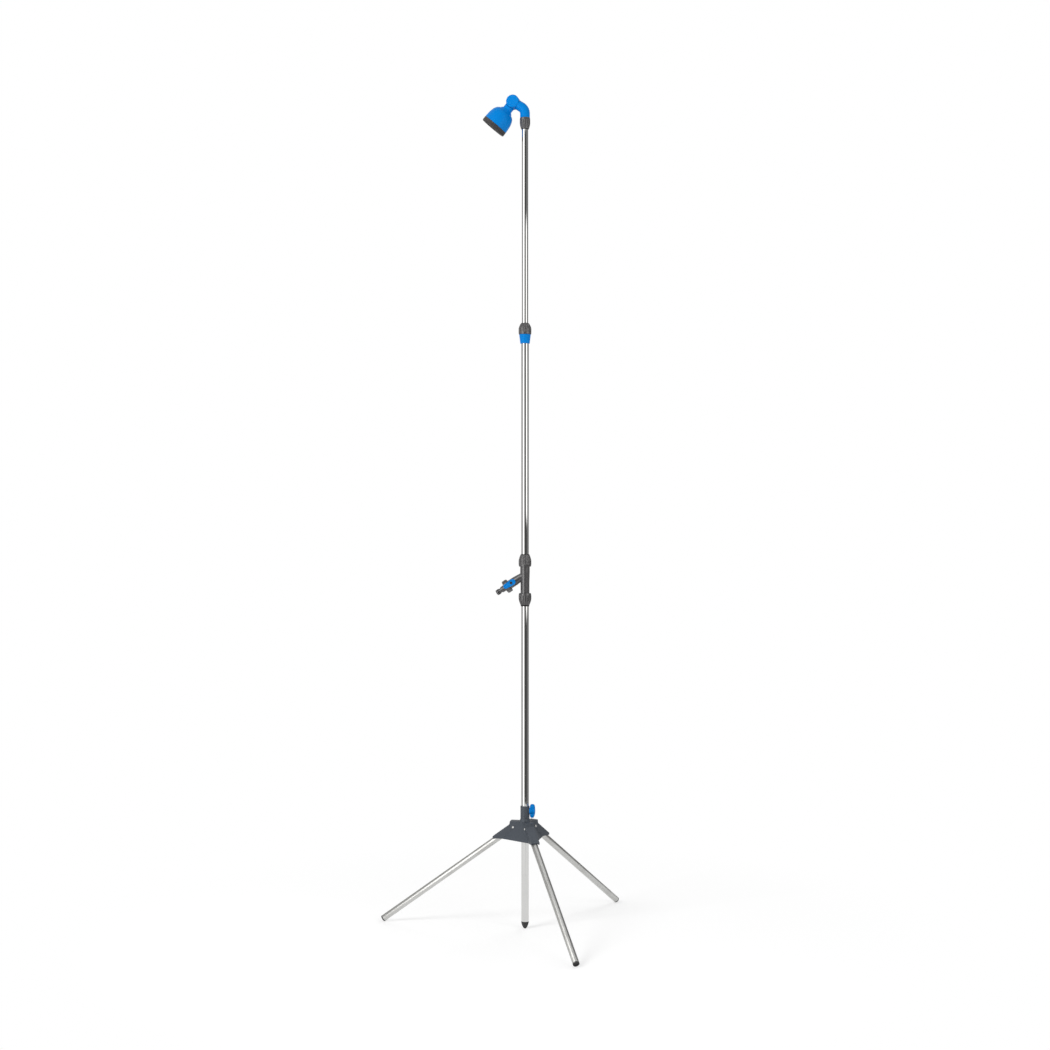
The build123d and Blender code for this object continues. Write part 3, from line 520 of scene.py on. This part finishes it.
def nutGrid(node, size):
    # The taper's radius is bellyR - (bellyR - endR) u^fall along its height. Half-round flutes start above
    # the band and take up to the hollow off the outside.
    low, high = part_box(node)
    length = (high[2] - low[2]) / mm
    place = placing((0, 0, high[2]), (0, 0, -1)) if size["openUp"] else placing((0, 0, low[2]), (0, 0, 1))
    u = np.linspace(0, 1, nutLook["taperRows"])[1:-1]
    taperR = size["bellyR"] - (size["bellyR"] - size["endR"]) * u ** nutLook["fall"]
    taper = list(zip(taperR, nutLook["belly"] + (length - nutLook["belly"]) * u))
    corners = [
        (size["bore"], 0), (size["openR"], 0),
        (size["bellyR"], nutLook["bandRise"]), (size["bellyR"], nutLook["belly"]),
        *taper, (size["endR"], length), (size["mouth"], length),
        (size["mouth"], size["cone"] + nutLook["coneLength"]), (size["bore"], size["cone"]),
    ]

    def flutes(r, h, t):
        outside = r > size["endR"] - nutLook["fluteSkin"]
        along = smooth(h, nutLook["bandRise"], nutLook["bandRise"] + nutLook["fluteRise"]) * outside
        return nutLook["hollow"] * along * wave(t, nutLook["flutes"], nutLook["width"])

    profile = fine(eased(corners, nutLook["round"]), nutLook["step"])
    return turned(profile, place, nutLook["flutes"] * nutLook["fluteColumns"], flutes)


for node, size in nutSizes.items():
    gridPiece(node + "_drawn", [nutGrid(node, size)], size["body"], "grey_plastic", [node])

# The lower grip ring ends in a dark lip under its nut
lipLook = dict(inner=9.62, outer=11.0, gap=0.3, height=2.4, round=0.5, roundSteps=5, columns=96)
lipTop = lipLook["gap"] + lipLook["height"]
lipCorners = [
    (lipLook["inner"], lipLook["gap"]), (lipLook["outer"], lipLook["gap"]),
    (lipLook["outer"], lipTop), (lipLook["inner"], lipTop),
]
lipPlace = placing((0, 0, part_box("lower_nut")[0][2]), (0, 0, -1))
lipGrid = turned(eased(lipCorners, lipLook["round"], lipLook["roundSteps"]), lipPlace, lipLook["columns"])
gridPiece("lower_grip_lip", [lipGrid], "lower_grip", "grip_plastic")
print("nuts drawn")


# Union collar on the branch: raised grip lugs round a plain barrel
collarLook = dict(
    jointAt=55, low=49.0, high=61.0, barrel=14.9, lug=17.2, bore=13.4, mouth=8.1, lip=2.0, chamfer=1.0,
    chamferIn=1.2, round=0.8, step=0.8, lugs=8, width=0.5, flank=0.1, columns=240,
)
collarTurn = joints["collar_turn"]
branchAt = np.array(collarTurn["pos_m"]) - collarLook["jointAt"] * mm * np.array(collarTurn["axis"])
collarCorners = [
    (collarLook["bore"], collarLook["low"]), (collarLook["lug"], collarLook["low"]),
    (collarLook["lug"], collarLook["high"] - collarLook["chamfer"]),
    (collarLook["barrel"] - collarLook["chamferIn"], collarLook["high"]),
    (collarLook["mouth"], collarLook["high"]), (collarLook["mouth"], collarLook["high"] - collarLook["lip"]),
    (collarLook["bore"], collarLook["high"] - collarLook["lip"]),
]


def betweenLugs(r, h, t):
    # All that stands over the barrel goes where a, the distance from a lug's middle, passes 1 - width
    a = np.abs((t * collarLook["lugs"] / (2 * np.pi)) % 1 - 0.5) * 2
    flankAt = 1 - collarLook["width"]
    gap = smooth(a, flankAt - collarLook["flank"], flankAt + collarLook["flank"])
    return np.clip(r - collarLook["barrel"], 0, None) * gap


collarProfile = fine(eased(collarCorners, collarLook["round"]), collarLook["step"])
collarPlace = placing(branchAt, collarTurn["axis"])
collarGrid = turned(collarProfile, collarPlace, collarLook["columns"], betweenLugs)
gridPiece("union_collar_drawn", [collarGrid], "collar", "grey_plastic", ["union_collar"])
print("collar drawn")


# Wing knob: two rounded lobes on a short hub
knobLook = dict(
    half=17.4, outer=26.0, inner=18.4, lobeInner=12.4, neckLow=6.9, neckHigh=8.0, lean=1.5, leanFrom=4.0,
    thick=4.4, endPower=0.62, sidePower=0.55, rimPower=0.3, facePower=0.7, columns=128, rows=27,
    hubR=6.6, hubLow=18.6, hubHigh=25.6, hubRound=1.2, hubRoundSteps=6, hubColumns=72, sharp=50,
)
knobZ = sum(corner[2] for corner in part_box("clamp_insert")) / 2
knobPlace = placing((0, 0, knobZ), (1, 0, 0))


def knobWings():
    # z = half sin^p(a), x between the inner and the outer edge of that z by cos^p(a); every ring of the
    # pillow is that outline shrunk by cos^q(v), at y = thick sin^p(v)
    a = np.linspace(0, 2 * np.pi, knobLook["columns"], endpoint=False)
    v = np.linspace(-np.pi / 2, np.pi / 2, knobLook["rows"])[:, None]
    z = knobLook["half"] * signedPower(np.sin(a), knobLook["endPower"])
    lobes = smooth(np.abs(z), knobLook["neckLow"], knobLook["neckHigh"])
    back = knobLook["inner"] + (knobLook["lobeInner"] - knobLook["inner"]) * lobes
    front = knobLook["outer"] - knobLook["lean"] * smooth(-z, knobLook["leanFrom"], knobLook["half"])
    x = (front + back) / 2 + (front - back) / 2 * signedPower(np.cos(a), knobLook["sidePower"])
    middle = (knobLook["outer"] + knobLook["inner"]) / 2
    shrink = np.abs(np.cos(v)) ** knobLook["rimPower"]
    y = knobLook["thick"] * signedPower(np.sin(v), knobLook["facePower"])
    grid = np.stack([middle + (x - middle) * shrink, y + 0 * a, z * shrink], -1)
    return grid * mm + np.array((0, 0, knobZ))


hubCorners = [
    (0, knobLook["hubLow"]), (knobLook["hubR"], knobLook["hubLow"]),
    (knobLook["hubR"], knobLook["hubHigh"]), (0, knobLook["hubHigh"]),
]
hubProfile = eased(hubCorners, knobLook["hubRound"], knobLook["hubRoundSteps"], False)
hubGrid = turned(hubProfile, knobPlace, knobLook["hubColumns"])
gridPiece(
    "clamp_knob_drawn", [knobWings(), hubGrid], "clamp_screw", "blue_plastic", ["clamp_knob"],
    loop=False, sharp=knobLook["sharp"],
)

# The knob's cup, round the boss of the sleeve
cupLook = dict(outer=8.2, bore=6.8, low=12.4, taper=0.6, sunk=1.0, seat=2.0, round=0.4, columns=96)
cupCorners = [
    (cupLook["bore"], cupLook["low"]), (cupLook["outer"], cupLook["low"]),
    (cupLook["outer"] - cupLook["taper"], knobLook["hubLow"] + cupLook["sunk"]),
    (cupLook["bore"] - cupLook["seat"], knobLook["hubLow"] + cupLook["sunk"]),
    (cupLook["bore"] - cupLook["seat"], knobLook["hubLow"]), (cupLook["bore"], knobLook["hubLow"]),
]
cupGrid = turned(eased(cupCorners, cupLook["round"]), knobPlace, cupLook["columns"])
gridPiece("clamp_knob_cup", [cupGrid], "clamp_screw", "blue_plastic", sharp=knobLook["sharp"])
print("knob drawn")


# Shower head: its axis runs from the knuckle to the middle of the gasket
headAt = np.array(joints["head_tilt"]["pos_m"])
gasketLow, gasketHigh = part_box("head_gasket")
headPlace = placing(headAt, (np.array(gasketLow) + np.array(gasketHigh)) / 2 - headAt)

# The bell's skin, from the neck to the rim, thinnest where it starts at the neck
bellLook = dict(
    flank=[(19.0, 31.0), (27.5, 34.5), (33.0, 46.0), (33.3, 71.4)], rows=40, columns=160,
    skin=1.2, deeper=2.4, deeperBy=0.25,
)


def bellSkin():
    # Cubic curve through the flank's four handles, with its inner side a skin's thickness in
    u = np.linspace(0, 1, bellLook["rows"])[:, None]
    p = np.array(bellLook["flank"])
    curve = (1 - u) ** 3 * p[0] + 3 * u * (1 - u) ** 2 * p[1] + 3 * u ** 2 * (1 - u) * p[2] + u ** 3 * p[3]
    thick = bellLook["skin"] + bellLook["deeper"] * smooth(u, 0, bellLook["deeperBy"])
    inner = curve - thick * np.array((1, 0))
    return turned(np.concatenate([curve, inner[::-1]]), headPlace, bellLook["columns"])


gridPiece("bell_skin", [bellSkin()], "head", "blue_plastic")

# The dark rim, with fine ribs round its outside
rimLook = dict(
    low=71.6, high=83.6, outer=33.5, bore=30.3, mouth=28.5, lip=3.0, chamfer=1.6, round=0.8, step=0.8,
    ribs=64, depth=0.5, width=0.7, ribColumns=10, ribSkin=1.0, foot=(2.2, 3.2), head=(2.6, 3.6),
)
rimCorners = [
    (rimLook["bore"], rimLook["low"]), (rimLook["outer"], rimLook["low"]),
    (rimLook["outer"], rimLook["high"] - rimLook["chamfer"]),
    (rimLook["outer"] - rimLook["chamfer"], rimLook["high"]),
    (rimLook["mouth"], rimLook["high"]), (rimLook["mouth"], rimLook["high"] - rimLook["lip"]),
    (rimLook["bore"], rimLook["high"] - rimLook["lip"]),
]


def rimRibs(r, h, t):
    # Half-round hollows on the outside, fading in over the foot of the band and out over its head
    foot = smooth(h, rimLook["low"] + rimLook["foot"][0], rimLook["low"] + rimLook["foot"][1])
    band = foot * smooth(rimLook["high"] - h, *rimLook["head"]) * (r > rimLook["outer"] - rimLook["ribSkin"])
    return rimLook["depth"] * band * wave(t, rimLook["ribs"], rimLook["width"])


rimProfile = fine(eased(rimCorners, rimLook["round"]), rimLook["step"])
rimGrid = turned(rimProfile, headPlace, rimLook["ribs"] * rimLook["ribColumns"], rimRibs)
gridPiece("head_rim_drawn", [rimGrid], "head", "grey_plastic", ["head_rim"], finish=finishes["rim_plastic"])

# Nozzles: hollow nubs in rings on the spray face
nozzleLook = dict(
    faceAt=82.8, outer=1.7, rise=0.8, sunk=0.5, topShare=0.8, holeTop=0.8, holeFoot=0.6, holeAt=0.2,
    round=0.35, columns=20, rings=3, first=6, pitch=7.8, sharp=50,
)
nozzleCorners = [
    (0, -nozzleLook["sunk"]), (nozzleLook["outer"], -nozzleLook["sunk"]),
    (nozzleLook["outer"] * nozzleLook["topShare"], nozzleLook["rise"]),
    (nozzleLook["holeTop"], nozzleLook["rise"]),
    (nozzleLook["holeFoot"], nozzleLook["holeAt"]), (0, nozzleLook["holeAt"]),
]
nozzleProfile = eased(nozzleCorners, nozzleLook["round"], closed=False)
nozzleGrids = []
for ring in range(nozzleLook["rings"] + 1):
    count = max(nozzleLook["first"] * ring, 1)
    reach = nozzleLook["pitch"] * ring * mm
    for turn in np.arange(count) * 2 * np.pi / count:
        spot = np.array((reach * np.cos(turn), reach * np.sin(turn), nozzleLook["faceAt"] * mm))
        nozzlePlace = (put(spot, headPlace), headPlace[1])
        nozzleGrids.append(turned(nozzleProfile, nozzlePlace, nozzleLook["columns"]))
gridPiece("spray_nozzles", nozzleGrids, "head", "face_plastic", loop=False, sharp=nozzleLook["sharp"])
print("head drawn")


# Studio, in metres: the camera's angle round the object, the floor, and the strength of the world's light
studio = dict(
    round=11.5, floorHalf=8, floorShade=0.55, floorReach=0.60, floorFade=1.15, floorLift=0.53, air=0.44,
)

# What the chrome mirrors, by the angle from the camera in degrees, right positive: a long softbox on the
# left, a dark flag in front, a grey side on the right with a tall window, and pale walls behind
wallLook = dict(
    radius=1.3, foot=0.01, height=2.6, columns=96, colour=(1, 0.995, 0.985, 1), soft=3.0, sideSoft=5.0,
    softboxAt=(-63, -27), flagAt=(-27, 36), sideAt=(36, 142), windowAt=(28, 72), skirtAt=(36, 58),
    softbox=3.0, flag=0.09, side=0.24, window=1.6, back=0.50, sill=(0.86, 0.96), lintel=(2.02, 2.14),
)


def seenRays(f):
    # 1 for the rays of the camera, of mirrors and of clear plastic, 0 for the rest
    seen = f.node("LightPath", out="Is Camera Ray")
    for other in ("Is Glossy Ray", "Is Transmission Ray"):
        seen = seen.maths("MAXIMUM", seen, f.node("LightPath", out=other))
    return seen


def floorFinish():
    # Near the tripod the floor takes shadow; further out it fades into plain white
    f = Finish("paleFloor")
    away = f.node("VectorMath", {"operation": "LENGTH"}, {0: f.spot()}, out="Value")
    fade = f.span(away, studio["floorReach"], studio["floorFade"])
    shade = studio["floorShade"]
    lit = f.node("BsdfDiffuse", None, {"Color": (shade, shade, shade, 1)})
    lifted = f.node("Emission", None, {"Strength": seenRays(f) * studio["floorLift"]})
    near = f.node("AddShader", None, {0: lit, 1: lifted})
    white = f.node("Emission", None, {"Color": (1, 1, 1, 1), "Strength": 1.0})
    shader = f.node("MixShader", None, {0: fade, 1: near, 2: white})
    f.node("OutputMaterial", None, {"Surface": shader})
    return f.owner


def wallFinish():
    # The level of the back wall, and for each band of angles the difference from it
    f = Finish("studioWall")
    look = wallLook
    x, y, z = f.split(f.spot((0, 0, -np.radians(studio["round"]))))
    angle = x.maths("ARCTAN2", x, 0 - y) * (180 / np.pi)

    def between(angles, soft=look["soft"]):
        # 1 between the two angles, 0 outside them, with soft degrees each side of an edge
        low, high = angles
        return f.span(angle, low - soft, low + soft) * (1 - f.span(angle, high - soft, high + soft))

    aboveSill = f.span(z, *look["sill"])
    window = between(look["windowAt"]) * aboveSill * (1 - f.span(z, *look["lintel"]))
    level = look["back"] + between(look["softboxAt"]) * (look["softbox"] - look["back"])
    level = level + between(look["flagAt"]) * (look["flag"] - look["back"])
    level = level + between(look["sideAt"], look["sideSoft"]) * (look["side"] - look["back"])
    level = level + window * look["window"]
    level = level + between(look["skirtAt"]) * (1 - aboveSill) * (look["flag"] - look["side"])
    shine = f.node("Emission", None, {"Color": look["colour"], "Strength": level})
    f.node("OutputMaterial", None, {"Surface": shine})
    return f.owner


def stagePiece(name, verts, faces, finish):
    # What stands round the shower and isn't part of it
    mesh = bpy.data.meshes.new(name)
    mesh.from_pydata(verts, [], faces)
    mesh.materials.append(finish)
    piece = newObject(name, mesh)
    return piece


far = studio["floorHalf"]
floorCorners = [(-far, -far, 0), (far, -far, 0), (far, far, 0), (-far, far, 0)]
stagePiece("floor", floorCorners, [(0, 1, 2, 3)], floorFinish())

# The walls are one open drum that only mirror rays see: (radius cos t, radius sin t) at foot and height
t = np.linspace(0, 2 * np.pi, wallLook["columns"], endpoint=False)
ring = np.stack([np.cos(t), np.sin(t), 0 * t], 1) * wallLook["radius"]
wallVerts = np.concatenate([ring + (0, 0, wallLook["foot"]), ring + (0, 0, wallLook["height"])])
low = np.arange(wallLook["columns"])
beside = np.roll(low, -1)
wallFaces = np.stack([low, beside, beside + len(low), low + len(low)], 1).tolist()
wall = stagePiece("studio_wall", wallVerts, wallFaces, wallFinish())
wall.visible_camera = False
wall.visible_diffuse = False
wall.visible_shadow = False
wall.visible_transmission = False

world = bpy.data.worlds.new("studio")
bpy.context.scene.world = world
sky = Finish(world)
strength = studio["air"] + seenRays(sky) * (1 - studio["air"])
air = sky.node("Background", None, {"Color": (1, 1, 1, 1), "Strength": strength})
sky.node("OutputWorld", None, {"Surface": air})


# The photograph's camera: level, a little over 1 m high and 4 m from the pole
view = dict(
    distance=4.028, height=1.024, round=studio["round"], focalPixels=1586.0, framePixels=1050.0, sensor=36.0,
)
camera = newObject("camera", bpy.data.cameras.new("camera"))
camera.data.sensor_width = view["sensor"]
camera.data.lens = view["sensor"] * view["focalPixels"] / view["framePixels"]
turn = np.radians(view["round"])
camera.location = (view["distance"] * np.sin(turn), -view["distance"] * np.cos(turn), view["height"])
camera.rotation_euler = (np.pi / 2, 0, turn)
bpy.context.scene.camera = camera

lamps = {
    "key": dict(place=(-2.6, -3.2, 3.4), size=1.8, power=112.0),
    "fill": dict(place=(3.2, -2.4, 2.2), size=2.4, power=38.0),
    "back": dict(place=(0.8, 3.2, 3.0), size=2.4, power=36.0),
}
lampTarget = np.array((0.0, 0.0, 1.0))  # each lamp faces it
for name, lamp in lamps.items():
    light = bpy.data.lights.new(name, "AREA")
    light.size = lamp["size"]
    light.energy = lamp["power"]
    holder = newObject(name, light)
    way = lampTarget - np.array(lamp["place"])
    holder.location = lamp["place"]
    tilt = np.arccos(-way[2] / np.linalg.norm(way))
    holder.rotation_euler = (tilt, 0, np.arctan2(way[1], way[0]) - np.pi / 2)
    holder.visible_glossy = False

bpy.context.scene.view_settings.view_transform = "Standard"
print("studio set")
